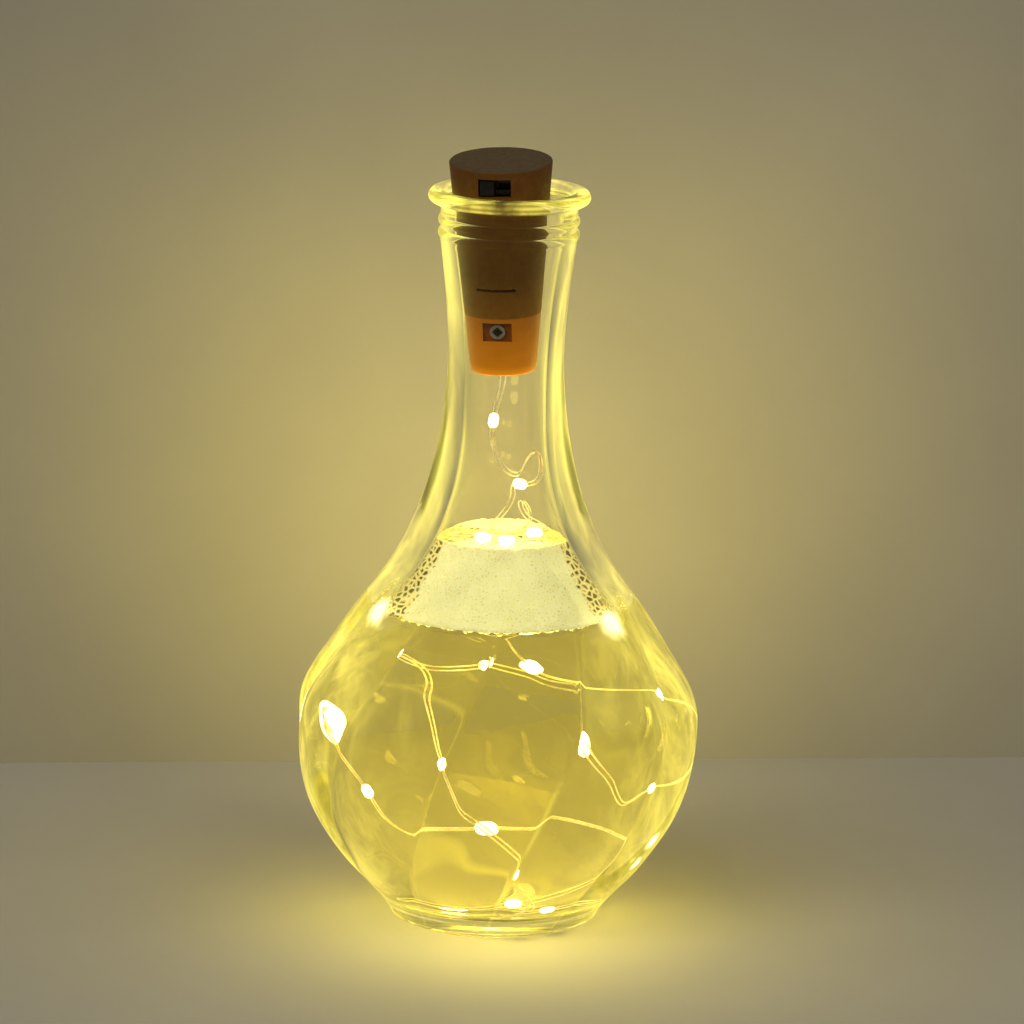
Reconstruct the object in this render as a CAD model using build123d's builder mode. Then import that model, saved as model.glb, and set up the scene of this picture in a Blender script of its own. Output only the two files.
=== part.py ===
# Cork bottle light: a battery light shaped like a tapered cork stands in the
# neck of a round glass carafe and feeds a string of small lights below it.
# Millimetres, +Z up, origin at the centre of the bottle's foot. The front,
# with the switch, faces -Y.
import os
from math import cos, hypot, pi, radians, sin, tan

from build123d import *

# Driving dimensions of the bottle
bottle_height = 166.0
belly_radius = 45.5
belly_level = 43.0
waist_radius = 12.9
waist_drop = 37.0
foot_radius = 23.2
belly_wall = 3.2
floor_thickness = 6.0
punt_radius = 18.0
punt_depth = 0.8
lip_radius = 18.05
lip_thickness = 3.4
lip_rounding = 1.7
mouth_radius = 14.2
mouth_rounding = 1.2
collar_radius = 15.2
collar_drop = 10.8
ring_count = 2
ring_height = 1.9
ring_swell = 0.5
ring_pitch = 2.9

# Wide twisted lobes pressed into the belly
lobe_count = 10
lobe_depth = 1.0
lobe_twist_per_height = 0.55
lobe_phase = -4.0
points_per_lobe = 4

# Place of the cork light in the neck
cork_depth = 40.4
cork_lean_left = 1.9
cork_lean_front = 4.6
cork_turn = -7.5
cork_offset_x = -0.55
cork_offset_y = 1.25
seat_clearance = 0.35

# Clearances shared by the fits
free_clearance = 0.3
slip_clearance = 0.1
seal_clearance = 0.02
overrun = 1.0

# Coin cells, three in a stack
cell_count = 3
cell_radius = 5.8
cell_height = 5.4
cell_cap_radius = 4.5
cell_cap_proud = 0.25
cell_gasket_width = 0.45
cell_gasket_depth = 0.8

# Lower plug and cell tray
plug_height = 13.6
plug_cavity_radius = 4.5
plug_wall = 3.0
plug_floor = 1.8
wire_hole_radius = 1.3
seal_bead_radius = 2.2
seal_bead_height = 0.7
tray_seat = 0.6
tray_wall = 0.9
tray_floor = 0.85
tray_lip_height = 0.6
tray_lip_width = 1.3
tray_lip_start = 3.4
tray_opening_half_angle = 52.0

# Upper shell with its tongue
shell_wall = 1.3
shell_top = 1.5
shell_top_space = 3.35
edge_fillet = 0.5
tongue_width = 6.2
tongue_thickness = 0.95
tongue_front = 7.05
tongue_end_level = 7.8
tongue_root_height = 3.4
tongue_root_thickness = 1.7

# Openings of the shell and the plug
window_width = 7.2
window_height = 4.1
window_drop = 3.9
slit_width = 8.0
slit_height = 0.7
slit_level = 20.2
recess_width = 6.0
recess_height = 4.4
recess_level = 10.4

# Clamp screw
screw_head_radius = 1.6
screw_head_height = 0.6
screw_shank_radius = 0.8
screw_slot_length = 2.2
screw_slot_width = 0.5
screw_slot_depth = 0.35

# Slide switch
switch_width = 8.6
switch_height = 3.8
switch_metal = 0.3
switch_inset = 2.7
switch_depth = 4.0
switch_slot_width = 6.6
switch_slot_height = 1.6
switch_base_width = 8.4
switch_base_depth = 1.4
switch_base_inset = 2.0
knob_width = 3.2
knob_height = 3.4
knob_proud = 2.2
knob_fillet = 0.2
pin_pitch = 3.4
knob_stem_width = 2.4
knob_stem_height = 1.4
carriage_width = 3.4
carriage_height = 2.8
carriage_depth = 1.0
clip_width = 4.4
clip_height = 1.2
clip_thickness = 0.35
clip_dimple_radius = 0.4
pin_width = 0.5
pin_thickness = 0.3
pin_length = 3.8
solder_radius = 0.9
solder_height = 0.5
solder_taper = 35.0

# Circuit board and contacts
board_width = 15.0
board_height = 12.1
board_thickness = 1.0
board_lift = 2.4
board_top_clearance = 0.5
board_rib_thickness = 0.9
board_rib_height = 5.0
board_rib_rise = 1.0
board_rib_reach = 7.0
contact_thickness = 0.25
contact_width = 3.0
contact_reach = 4.4
contact_pad_height = 3.6
contact_lift = 0.75
contact_dimple_radius = 1.0
contact_dimple_taper = 20.0
strip_thickness = 0.18
strip_width = 2.0
strip_tab_length = 1.48
strip_drop = 2.0
strip_pocket_drop = 2.4
strip_pocket_start = 4.0
blade_width = 1.6
blade_side = 6.0
blade_reach = 4.2
plate_radius = 4.4
plate_thickness = 0.25
plate_button_radius = 1.6
plate_button_height = 0.7
resistor_radius = 0.8
resistor_length = 3.6
resistor_side = 1.6
resistor_level = 6.2
lead_radius = 0.25
lead_side = 0.6
lead_bend = 0.6
lead_rise = 1.5
lead_far_side = 3.8
lead_knee_level = 9.5

# Light string
strand_diameter = 0.32
strand_spacing = 0.9
strand_start_spacing = 1.5
bend_share = 0.45
chip_length = 0.8
chip_width = 0.7
chip_thickness = 0.5
bead_length = 3.4
bead_diameter = 2.2

# Outline shares: the lower belly as height and radius of the widest point
lower_belly_shares = ((0.058, 0.541), (0.174, 0.636), (0.291, 0.744), (0.41, 0.827), (0.56, 0.91), (0.74, 0.97))
# The shoulder as height between belly and waist, and what is left of the swell
shoulder_shares = ((0.083, 0.979), (0.151, 0.895), (0.221, 0.775), (0.291, 0.655), (0.36, 0.527), (0.43, 0.392),
                   (0.512, 0.27), (0.605, 0.169), (0.698, 0.097), (0.802, 0.042), (0.9, 0.012))
upper_neck_shares = ((0.25, 0.12), (0.5, 0.34), (0.78, 0.7))
# Level where the lobed belly ends and the round neck starts, between belly and waist
join_share = 0.55
# How much of the lobes' depth is there: below the widest point, and from there to the join
lower_lobe_shares = ((0.0, 0.0), (0.14, 0.0), (0.4, 1.0), (1.0, 1.0))
upper_lobe_shares = ((0.0, 1.0), (0.318, 1.0), (0.909, 0.0), (1.0, 0.0))
section_share = 0.11
parameter_accuracy = 1e-9

# The cavity: lower part by height above the floor, upper part up to the cork
cavity_floor_share = 0.45
lower_cavity_shares = ((0.054, 0.576), (0.162, 0.70), (0.378, 0.848), (0.649, 0.957))
upper_cavity_shares = ((0.084, 0.973), (0.205, 0.80), (0.337, 0.539), (0.41, 0.381), (0.488, 0.232), (0.542, 0.159),
                       (0.602, 0.105), (0.657, 0.065), (0.711, 0.038), (0.783, 0.015), (0.88, 0.002))
lip_under_shares = (0.75, 0.3)
bore_station_shares = (0.0, 0.25, 0.5, 0.72, 0.875)

# Route of the light string in the bottle, after its start at the cork's lower end
string_route = [
    (-0.42, 1.57, 121.6), (-2.1, 0.4, 116.4), (-2.9, -0.6, 110.2), (-1.8, -4.6, 106.2),
    (1.0, -6.0, 102.8), (3.6, -2.4, 101.4), (5.2, 2.8, 103.4), (7.2, 3.6, 105.4),
    (8.6, 1.4, 105.6), (8.4, -1.2, 103.4), (7.8, -3.0, 100.6), (5.4, -1.2, 98.8),
    (2.2, 1.2, 98.6), (2.4, 1.4, 94.8), (-0.6, 0.4, 91.0), (-2.4, -0.4, 89.0),
    (-2.2, -2.8, 88.4), (0.8, -3.8, 88.3), (4.6, -1.8, 88.4), (6.8, 1.0, 90.8),
    (5.8, 1.6, 93.6), (4.2, 0.2, 95.2), (3.8, -2.0, 94.4), (5.4, -3.2, 91.8),
    (7.8, -1.8, 90.4), (9.6, -2.6, 89.3), (9.0, -4.6, 88.8), (4.8, -5.6, 88.7),
    (0.6, -7.8, 88.4), (-5.2, -5.6, 88.6), (-9.4, -4.2, 88.7), (-10.8, -6.4, 88.6),
    (-8.6, -8.8, 88.5), (-5.6, -8.8, 88.6), (-2.2, -9.8, 88.4), (0.4, -9.0, 85.6),
    (1.6, -4.0, 81.5), (5.8, 0.8, 78.4), (10.5, -1.5, 80.4), (11.8, -6.8, 84.6),
    (9.0, -9.0, 88.4), (6.0, -11.0, 88.8), (2.8, -11.2, 88.5), (-0.9, -11.6, 88.5),
    (-4.2, -12.4, 87.2), (-6.8, -10.6, 82.5), (-6.0, -5.0, 76.0), (-2.0, 1.0, 68.0),
    (2.0, 5.5, 60.0), (4.0, 8.0, 53.8), (7.4, 8.2, 48.6), (13.8, 5.2, 48.0),
    (21.0, -1.0, 48.6), (27.0, -6.4, 50.8), (30.4, -9.8, 52.4), (34.4, -10.6, 51.8),
    (39.0, -5.0, 49.2), (40.2, 1.0, 45.0), (39.3, 1.4, 39.0), (37.9, -6.0, 35.2),
    (36.2, -13.0, 34.8), (33.8, -19.8, 36.0), (31.4, -24.6, 36.6), (28.8, -28.2, 35.2),
    (26.0, -27.4, 34.0), (23.6, -21.4, 35.4), (21.5, -13.0, 36.6), (18.0, -1.0, 37.6),
    (15.6, 6.6, 37.2), (11.0, 17.0, 37.6), (6.6, 26.0, 41.0), (2.4, 30.4, 44.2),
    (-1.6, 29.4, 46.6), (-3.4, 20.0, 50.6), (-3.0, 8.0, 53.6), (-3.6, -3.0, 56.4),
    (-3.4, -8.8, 58.2), (-4.0, -14.4, 59.6), (-7.6, -21.2, 60.8), (-13.4, -23.6, 61.0),
    (-17.6, -18.0, 60.6), (-18.4, -8.6, 58.6), (-16.8, 0.2, 56.2), (-14.6, 7.6, 53.6),
    (-11.8, 9.0, 50.4), (-11.6, 4.0, 47.8), (-13.2, -4.0, 47.2), (-13.4, -13.0, 47.2),
    (-13.0, -24.6, 46.2), (-12.2, -30.6, 44.8), (-10.8, -36.0, 42.8), (-8.6, -36.4, 37.6),
    (-6.6, -29.6, 32.6), (-4.0, -20.0, 29.6), (-0.8, -11.0, 25.8), (2.8, -5.0, 21.4),
    (4.6, -1.4, 18.6), (6.2, 3.0, 15.0), (6.6, 1.4, 10.6), (5.2, -5.0, 8.4),
    (3.6, -13.0, 8.0), (5.2, -19.4, 8.4), (9.0, -21.0, 8.8), (13.0, -18.0, 9.2),
    (18.4, -10.6, 9.8), (19.2, -0.4, 9.6), (14.6, 9.4, 9.0), (6.0, 15.4, 8.6),
    (-2.6, 16.8, 8.6), (-8.0, 15.0, 8.8), (-13.4, 9.4, 9.2), (-17.0, -1.0, 9.8),
    (-14.5, -11.5, 9.8), (-8.2, -18.6, 9.6), (-3.4, -21.4, 9.8), (1.6, -22.4, 10.4),
    (7.0, -22.8, 12.2), (15.0, -19.6, 14.4), (22.4, -13.6, 17.8), (25.0, -9.4, 22.2),
    (21.4, -7.0, 26.2), (13.6, -7.4, 27.6), (5.4, -8.2, 27.6), (0.6, -8.4, 27.0),
    (-4.2, -8.0, 26.2), (-10.6, -7.6, 24.8), (-16.6, -10.4, 25.2), (-21.4, -17.0, 28.4),
    (-24.8, -23.6, 33.4), (-27.6, -26.6, 37.4), (-31.2, -21.0, 41.2), (-33.4, -11.0, 43.4),
    (-32.6, -0.6, 43.2), (-29.8, 7.4, 41.0), (-27.4, 12.6, 38.6),
]
# Runs of the route whose middle carries a light, and runs where the string is parted
light_runs = (2, 12, 27, 34, 43, 50, 55, 62, 68, 72, 77, 83, 90, 97, 103, 109, 116, 124, 129, 134)
part_runs = (13, 15)

os.makedirs("parts", exist_ok=True)


def keep(builder, name):
    """Label a finished piece and write it under its node's name."""
    builder.part.label = name
    export_step(builder.part, f"parts/{name}.step")


def between(low, high, share):
    return low + (high - low) * share


# Levels along the cork's axis: the stack of cells sets the cork's length and width
tray_bottom = plug_height - tray_seat
tray_floor_top = tray_bottom + tray_floor
stack_bottom = tray_floor_top + plate_thickness + plate_button_height
stack_top = stack_bottom + cell_count * cell_height
board_bottom_level = stack_top + board_lift
board_top_level = board_bottom_level + board_height
shell_ceiling = board_top_level + board_top_clearance
cork_length = shell_ceiling + shell_top
tray_inner = cell_radius + slip_clearance
tray_outer = tray_inner + tray_wall
cork_top_radius = tray_outer + shell_top_space + shell_wall
cork_bottom_radius = plug_cavity_radius + plug_wall

# Bottle outline
waist_level = bottle_height - waist_drop
collar_level = bottle_height - collar_drop
join_level = between(belly_level, waist_level, join_share)
outer_outline = [(foot_radius, 0)]
outer_outline += [(belly_radius * r, belly_level * h) for h, r in lower_belly_shares]
outer_outline += [(belly_radius, belly_level)]
outer_outline += [
    (between(waist_radius, belly_radius, r), between(belly_level, waist_level, h)) for h, r in shoulder_shares
]
outer_outline += [(waist_radius, waist_level)]
outer_outline += [
    (between(waist_radius, collar_radius, r), between(waist_level, collar_level, h)) for h, r in upper_neck_shares
]
outer_outline += [(collar_radius, collar_level)]

# Cork frame: its lower end stands in the neck, leaning to the front and left
cork_bottom_level = bottle_height - cork_depth
cork_origin = Vector(cork_offset_x, cork_offset_y, cork_bottom_level)
cork_axis = Vector(-tan(radians(cork_lean_left)), -tan(radians(cork_lean_front)), 1).normalized()
cork_side = Vector(cos(radians(cork_turn)), sin(radians(cork_turn)), 0)
cork_side = (cork_side - cork_axis * cork_side.dot(cork_axis)).normalized()
cork_plane = Plane(origin=cork_origin, x_dir=cork_side, z_dir=cork_axis)
cork_back = cork_plane.y_dir
cork_taper = (cork_top_radius - cork_bottom_radius) / cork_length


def cork_radius(height):
    return cork_bottom_radius + cork_taper * height


def bore_radius(level):
    """Bore that leaves the leaning cork its clearance at one level."""
    height = (level - cork_bottom_level) / cork_axis.Z
    centre = cork_origin + cork_axis * height
    return cork_radius(height) / cork_axis.Z + hypot(centre.X, centre.Y) + seat_clearance


def facing(height, depth):
    """Plane across the cork's front, at a height and a distance in front of its axis."""
    centre = cork_origin + cork_axis * height - cork_back * depth
    return Plane(origin=centre, x_dir=cork_side, z_dir=-cork_back)


cavity_radius = belly_radius - belly_wall
neck_start_radius = bore_radius(cork_bottom_level)
cavity_outline = [(cavity_radius * cavity_floor_share, floor_thickness)]
cavity_outline += [(cavity_radius * r, between(floor_thickness, belly_level, h)) for h, r in lower_cavity_shares]
cavity_outline += [(cavity_radius, belly_level)]
cavity_outline += [
    (between(neck_start_radius, cavity_radius, r), between(belly_level, cork_bottom_level, h))
    for h, r in upper_cavity_shares
]
bore_levels = [between(cork_bottom_level, bottle_height, share) for share in bore_station_shares]
cavity_outline += [(bore_radius(level), level) for level in bore_levels]
mouth_level = bottle_height - mouth_rounding
cavity_outline += [(mouth_radius, mouth_level)]

with BuildSketch(Plane.XZ) as outer_shape:
    with BuildLine():
        wall_line = Spline(outer_outline)
        Line(wall_line @ 1, (0, collar_level))
        Line((0, collar_level), (0, 0))
        Line((0, 0), wall_line @ 0)
    make_face()


def outline_radius(level):
    """Radius of the smooth outer wall at one level."""
    low = 0.0
    high = 1.0
    while high - low > parameter_accuracy:
        middle = (low + high) / 2
        if (wall_line @ middle).Y < level:
            low = middle
        else:
            high = middle
    return (wall_line @ low).X


def lobe_share(level):
    """How much of the lobes' depth is there at one level."""
    shares = lower_lobe_shares
    share = level / belly_level
    if level > belly_level:
        shares = upper_lobe_shares
        share = (level - belly_level) / (join_level - belly_level)
    for (low, low_share), (high, high_share) in zip(shares, shares[1:]):
        if share <= high:
            return between(low_share, high_share, (share - low) / (high - low))
    return 0.0


def lobed_points(level):
    """Closed outline of the belly at one level, with the lobes' valleys turned by the twist."""
    radius = outline_radius(level)
    half_depth = lobe_depth * lobe_share(level) / 2
    turn = lobe_phase + lobe_twist_per_height * level
    points = []
    for step in range(lobe_count * points_per_lobe):
        around = 360 * step / (lobe_count * points_per_lobe)
        swell = half_depth * (1 + cos(radians(around * lobe_count)))
        angle = radians(around + turn)
        points.append(((radius - swell) * sin(angle), -(radius - swell) * cos(angle)))
    return points


# Space inside the bottle, from its floor out of its rounded mouth
mouth_edge_radius = mouth_radius + mouth_rounding
with BuildPart() as cavity_space:
    with BuildSketch(Plane.XZ):
        with BuildLine():
            cavity_line = Spline(cavity_outline)
            RadiusArc(cavity_line @ 1, (mouth_edge_radius, bottle_height), mouth_rounding)
            Line((mouth_edge_radius, bottle_height), (mouth_edge_radius, bottle_height + overrun))
            Line((mouth_edge_radius, bottle_height + overrun), (0, bottle_height + overrun))
            Line((0, bottle_height + overrun), (0, floor_thickness))
            Line((0, floor_thickness), cavity_line @ 0)
        make_face()
    revolve(axis=Axis.Z)

# Lower part of the glass: lobed belly on its foot
section_step = belly_level * section_share
section_levels = [0.0]
while section_levels[-1] + section_step < join_level - section_step / 2:
    section_levels.append(section_levels[-1] + section_step)
section_levels.append(join_level)

punt_sphere_radius = (punt_radius**2 + punt_depth**2) / (punt_depth * 2)
with BuildPart() as glass_belly:
    for level in section_levels:
        with BuildSketch(Plane.XY.offset(level)):
            with BuildLine():
                Spline(lobed_points(level), periodic=True)
            make_face()
    loft()
    add(cavity_space.part, mode=Mode.SUBTRACT)
    with Locations((0, 0, punt_depth - punt_sphere_radius)):
        Sphere(punt_sphere_radius, mode=Mode.SUBTRACT)
keep(glass_belly, "glass_belly")

# Upper part of the glass: round neck with two small rings under a rolled lip
ring_levels = [collar_level + ring_height / 2 + ring_pitch * step for step in range(ring_count)]
lip_bottom = bottle_height - lip_thickness
crown = (lip_radius - lip_rounding, bottle_height)
with BuildPart() as glass_neck:
    with BuildSketch(Plane.XZ):
        with BuildLine():
            Spline(outer_outline)
            Line((collar_radius, collar_level), (collar_radius, lip_bottom))
            lip_under = ThreePointArc(
                (collar_radius, lip_bottom),
                (between(collar_radius, lip_radius, lip_under_shares[0]), between(lip_bottom, lip_bottom + lip_rounding,
                                                                                  lip_under_shares[1])),
                (lip_radius, lip_bottom + lip_rounding),
            )
            RadiusArc(lip_under @ 1, crown, -lip_rounding)
            Polyline(crown, (0, bottle_height), (0, 0), outer_outline[0])
        make_face()
        for level in ring_levels:
            with Locations((collar_radius, level)):
                Ellipse(ring_swell, ring_height / 2)
    revolve(axis=Axis.Z)
    add(cavity_space.part, mode=Mode.SUBTRACT)
    split(bisect_by=Plane.XY.offset(join_level), keep=Keep.TOP)
keep(glass_neck, "glass_neck")


# Cork light: sketches lie across its axis at a level, or face its front
axis_line = Axis(cork_origin, cork_axis)
centre_plane = facing(0, 0)


def at_level(height):
    return cork_plane.offset(height)


def bar(left, right, front, back, mode=Mode.ADD):
    """Rectangle from its four sides."""
    with Locations(((left + right) / 2, (front + back) / 2)):
        Rectangle(right - left, back - front, mode=mode)


tray_top = stack_top + tray_lip_height
strip_top = tray_top + free_clearance
strip_outer = tray_outer + strip_thickness
tongue_back = tongue_front - tongue_thickness
window_level = cork_length - window_drop
switch_front = cork_radius(window_level) - switch_inset
switch_base_front = switch_front - switch_base_inset
board_front = switch_front - switch_depth
board_back = board_front - board_thickness
knob_front = switch_front + knob_proud
knob_rest = -pin_pitch / 2

# Upper shell: hollow cone with board ribs, window, tab slit and the clamp tongue
rib_level = board_bottom_level + board_rib_rise
with BuildPart() as shell_hollow:
    with BuildSketch(centre_plane):
        with BuildLine():
            Polyline(
                (0, plug_height),
                (cork_radius(plug_height) - shell_wall, plug_height),
                (cork_radius(shell_ceiling) - shell_wall, shell_ceiling),
                (0, shell_ceiling),
                close=True,
            )
        make_face()
    revolve(axis=axis_line)
    with BuildSketch(at_level(rib_level)):
        for side in (-1, 1):
            outer_side = side * cork_top_radius
            inner_side = side * board_rib_reach
            left = min(outer_side, inner_side)
            right = max(outer_side, inner_side)
            bar(left, right, -board_front - board_rib_thickness, -board_front)
            bar(left, right, -board_back, -board_back + board_rib_thickness)
    extrude(amount=board_rib_height, mode=Mode.SUBTRACT)

with BuildPart() as cork_shell:
    with BuildSketch(centre_plane):
        with BuildLine():
            Polyline(
                (0, plug_height),
                (cork_radius(plug_height), plug_height),
                (cork_top_radius, cork_length),
                (0, cork_length),
                close=True,
            )
        make_face()
    revolve(axis=axis_line)
    fillet(cork_shell.edges().filter_by(GeomType.CIRCLE).sort_by(axis_line)[-1], edge_fillet)
    add(shell_hollow.part, mode=Mode.SUBTRACT)
    with BuildSketch(facing(window_level, 0)):
        Rectangle(window_width, window_height)
    extrude(amount=cork_top_radius + overrun, mode=Mode.SUBTRACT)
    with BuildSketch(facing(slit_level, 0)):
        Rectangle(slit_width, slit_height)
    extrude(amount=cork_top_radius + overrun, mode=Mode.SUBTRACT)
    with BuildSketch(at_level(plug_height)):
        bar(-tongue_width / 2, tongue_width / 2, -tongue_back - tongue_root_thickness, -tongue_back)
    extrude(amount=tongue_root_height)
    with BuildSketch(at_level(tongue_end_level)):
        bar(-tongue_width / 2, tongue_width / 2, -tongue_front, -tongue_back)
    extrude(amount=plug_height - tongue_end_level)
    with BuildSketch(facing(recess_level, 0)):
        Circle(screw_shank_radius + slip_clearance)
    extrude(amount=tongue_front + overrun, mode=Mode.SUBTRACT)
keep(cork_shell, "cork_shell")

# Lower plug: cone with a central cavity, tray seat, tongue slot and square recess
slot_front = tongue_front + free_clearance
slot_back = tongue_back - free_clearance
slot_half = tongue_width / 2 + free_clearance
slot_bottom = tongue_end_level - free_clearance
recess_top = recess_level + recess_height / 2
channel_half = screw_head_radius + free_clearance
channel_front = tongue_front + screw_head_height + free_clearance
pocket_bottom = plug_height - strip_pocket_drop
with BuildPart() as carrier_plug:
    with BuildSketch(centre_plane):
        with BuildLine():
            Polyline(
                (0, 0),
                (cork_bottom_radius, 0),
                (cork_radius(plug_height), plug_height),
                (0, plug_height),
                close=True,
            )
        make_face()
    revolve(axis=axis_line)
    fillet(carrier_plug.edges().filter_by(GeomType.CIRCLE).sort_by(axis_line)[0], edge_fillet)
    with BuildSketch(cork_plane):
        Circle(wire_hole_radius)
    extrude(amount=plug_floor, mode=Mode.SUBTRACT)
    with BuildSketch(at_level(plug_floor)):
        Circle(plug_cavity_radius)
    extrude(amount=plug_height, mode=Mode.SUBTRACT)
    with BuildSketch(at_level(tray_bottom)):
        Circle(tray_outer + slip_clearance)
    extrude(amount=plug_height, mode=Mode.SUBTRACT)
    with BuildSketch(at_level(slot_bottom)):
        bar(-slot_half, slot_half, -slot_front, -slot_back)
    extrude(amount=plug_height, mode=Mode.SUBTRACT)
    with BuildSketch(at_level(recess_top)):
        bar(-channel_half, channel_half, -channel_front, -slot_back)
    extrude(amount=plug_height, mode=Mode.SUBTRACT)
    with BuildSketch(facing(recess_level, slot_back)):
        Rectangle(recess_width, recess_height)
    extrude(amount=plug_height, mode=Mode.SUBTRACT)
    with BuildSketch(at_level(pocket_bottom)):
        bar(-strip_outer - free_clearance, -strip_pocket_start, -strip_width / 2 - free_clearance,
            strip_width / 2 + free_clearance)
    extrude(amount=plug_height, mode=Mode.SUBTRACT)
keep(carrier_plug, "carrier_plug")

# Clamp screw with a cross recess, through the tongue
with BuildPart() as clamp_screw:
    with BuildSketch(facing(recess_level, tongue_front)):
        Circle(screw_head_radius)
    extrude(amount=screw_head_height)
    with BuildSketch(facing(recess_level, tongue_back)):
        Circle(screw_shank_radius)
    extrude(amount=tongue_thickness)
    with BuildSketch(facing(recess_level, tongue_front + screw_head_height - screw_slot_depth)):
        Rectangle(screw_slot_length, screw_slot_width)
        Rectangle(screw_slot_width, screw_slot_length)
    extrude(amount=screw_head_height, mode=Mode.SUBTRACT)
keep(clamp_screw, "clamp_screw")

# Cell tray: open cradle on a floor, with a lip that holds the stack down
wedge_reach = tray_outer + overrun
wedge_side = wedge_reach * tan(radians(tray_opening_half_angle))
with BuildPart() as cell_tray:
    with BuildSketch(at_level(tray_bottom)):
        Circle(tray_outer)
        Circle(tray_inner, mode=Mode.SUBTRACT)
        with BuildLine():
            Polyline((0, 0), (wedge_side, -wedge_reach), (-wedge_side, -wedge_reach), close=True)
        make_face(mode=Mode.SUBTRACT)
    extrude(amount=tray_top - tray_bottom)
    with BuildSketch(at_level(tray_bottom)):
        Circle(tray_outer)
        bar(-tray_outer, tray_outer, -tray_outer, -slot_back, mode=Mode.SUBTRACT)
        with Locations((resistor_side, 0)):
            Circle(lead_radius + slip_clearance, mode=Mode.SUBTRACT)
    extrude(amount=tray_floor)
    with BuildSketch(at_level(stack_top)):
        Circle(tray_outer)
        Circle(tray_inner - tray_lip_width, mode=Mode.SUBTRACT)
        bar(-tray_outer, tray_outer, -tray_outer, tray_lip_start, mode=Mode.SUBTRACT)
    extrude(amount=tray_lip_height)
keep(cell_tray, "cell_tray")

# Three coin cells: can, sealing ring and lower cap each
recess_radius = cell_cap_radius + cell_gasket_width
for number in range(cell_count):
    cell_bottom = stack_bottom + number * cell_height
    with BuildPart() as button_cell:
        with BuildSketch(at_level(cell_bottom + cell_cap_proud)):
            Circle(cell_radius)
        extrude(amount=cell_height - cell_cap_proud)
        with BuildSketch(at_level(cell_bottom + cell_cap_proud)):
            Circle(recess_radius + seal_clearance)
        extrude(amount=cell_gasket_depth, mode=Mode.SUBTRACT)
    keep(button_cell, f"button_cell_{number + 1}")

with BuildPart() as cell_gaskets:
    for number in range(cell_count):
        with BuildSketch(at_level(stack_bottom + number * cell_height + cell_cap_proud)):
            Circle(recess_radius)
            Circle(cell_cap_radius + seal_clearance, mode=Mode.SUBTRACT)
        extrude(amount=cell_gasket_depth)
keep(cell_gaskets, "cell_gaskets")

with BuildPart() as cell_caps:
    for number in range(cell_count):
        with BuildSketch(at_level(stack_bottom + number * cell_height)):
            Circle(cell_cap_radius)
        extrude(amount=cell_cap_proud + cell_gasket_depth)
keep(cell_caps, "cell_caps")

# Contacts, resistor and leads in the plug
with BuildPart() as negative_contact:
    with BuildSketch(at_level(tray_floor_top)):
        Circle(plate_radius)
    extrude(amount=plate_thickness)
    with BuildSketch(at_level(tray_floor_top)):
        Circle(plate_button_radius)
    extrude(amount=plate_thickness + plate_button_height)
keep(negative_contact, "negative_contact")

strip_bottom = plug_height - strip_drop
with BuildPart() as return_strip:
    with BuildSketch(at_level(strip_bottom)):
        bar(-strip_outer, -tray_outer, -strip_width / 2, strip_width / 2)
    extrude(amount=strip_top - strip_bottom)
    with BuildSketch(at_level(strip_top)):
        bar(-strip_outer, strip_tab_length - strip_outer, -strip_width / 2, strip_width / 2)
    extrude(amount=strip_thickness)
keep(return_strip, "return_strip")

with BuildPart() as series_resistor:
    with BuildSketch(at_level(resistor_level)):
        with Locations((resistor_side, 0)):
            Circle(resistor_radius)
    extrude(amount=resistor_length)
keep(series_resistor, "series_resistor")

seal_top = plug_floor + seal_bead_height
with BuildPart() as wire_seal:
    with BuildSketch(cork_plane):
        Circle(wire_hole_radius)
    extrude(amount=plug_floor)
    with BuildSketch(at_level(plug_floor)):
        Circle(seal_bead_radius)
    extrude(amount=seal_bead_height)
keep(wire_seal, "wire_seal")

strip_lead_level = strip_bottom + lead_radius * 2
resistor_top = resistor_level + resistor_length
return_lead_route = [
    (-lead_side, seal_top),
    (-lead_side, seal_top + lead_rise),
    (-lead_far_side, lead_knee_level),
    (-lead_far_side, strip_lead_level),
    (-tray_outer, strip_lead_level),
]
feed_lead_route = [
    (lead_side, seal_top),
    (lead_side, seal_top + lead_rise / 2),
    (resistor_side, resistor_level - lead_rise / 2),
    (resistor_side, resistor_level),
]
with BuildPart() as contact_leads:
    for route in (return_lead_route, feed_lead_route):
        with BuildLine(centre_plane) as lead_path:
            FilletPolyline(route, radius=lead_bend)
        with BuildSketch(Plane(origin=lead_path.line @ 0, z_dir=cork_axis)):
            Circle(lead_radius)
        sweep(path=lead_path.line)
    with BuildSketch(at_level(resistor_top)):
        with Locations((resistor_side, 0)):
            Circle(lead_radius)
    extrude(amount=tray_floor_top - resistor_top)
keep(contact_leads, "contact_leads")

# Slide switch: metal frame, base with three terminals, sliding knob with its clip
flange_offset = (switch_height - switch_metal) / 2
plate_back = switch_front - switch_metal
with BuildPart() as switch_frame:
    with BuildSketch(facing(window_level, plate_back)):
        Rectangle(switch_width, switch_height)
        Rectangle(switch_slot_width, switch_slot_height, mode=Mode.SUBTRACT)
    extrude(amount=switch_metal)
    for offset in (-flange_offset, flange_offset):
        with BuildSketch(facing(window_level + offset, board_front)):
            Rectangle(switch_width, switch_metal)
        extrude(amount=plate_back - board_front)
keep(switch_frame, "switch_frame")

pin_places = [(-pin_pitch, 0), (0, 0), (pin_pitch, 0)]
with BuildPart() as switch_terminals:
    with BuildSketch(facing(window_level, switch_base_front - pin_length)):
        with Locations(pin_places):
            Rectangle(pin_width, pin_thickness)
    extrude(amount=pin_length)
keep(switch_terminals, "switch_terminals")

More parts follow.
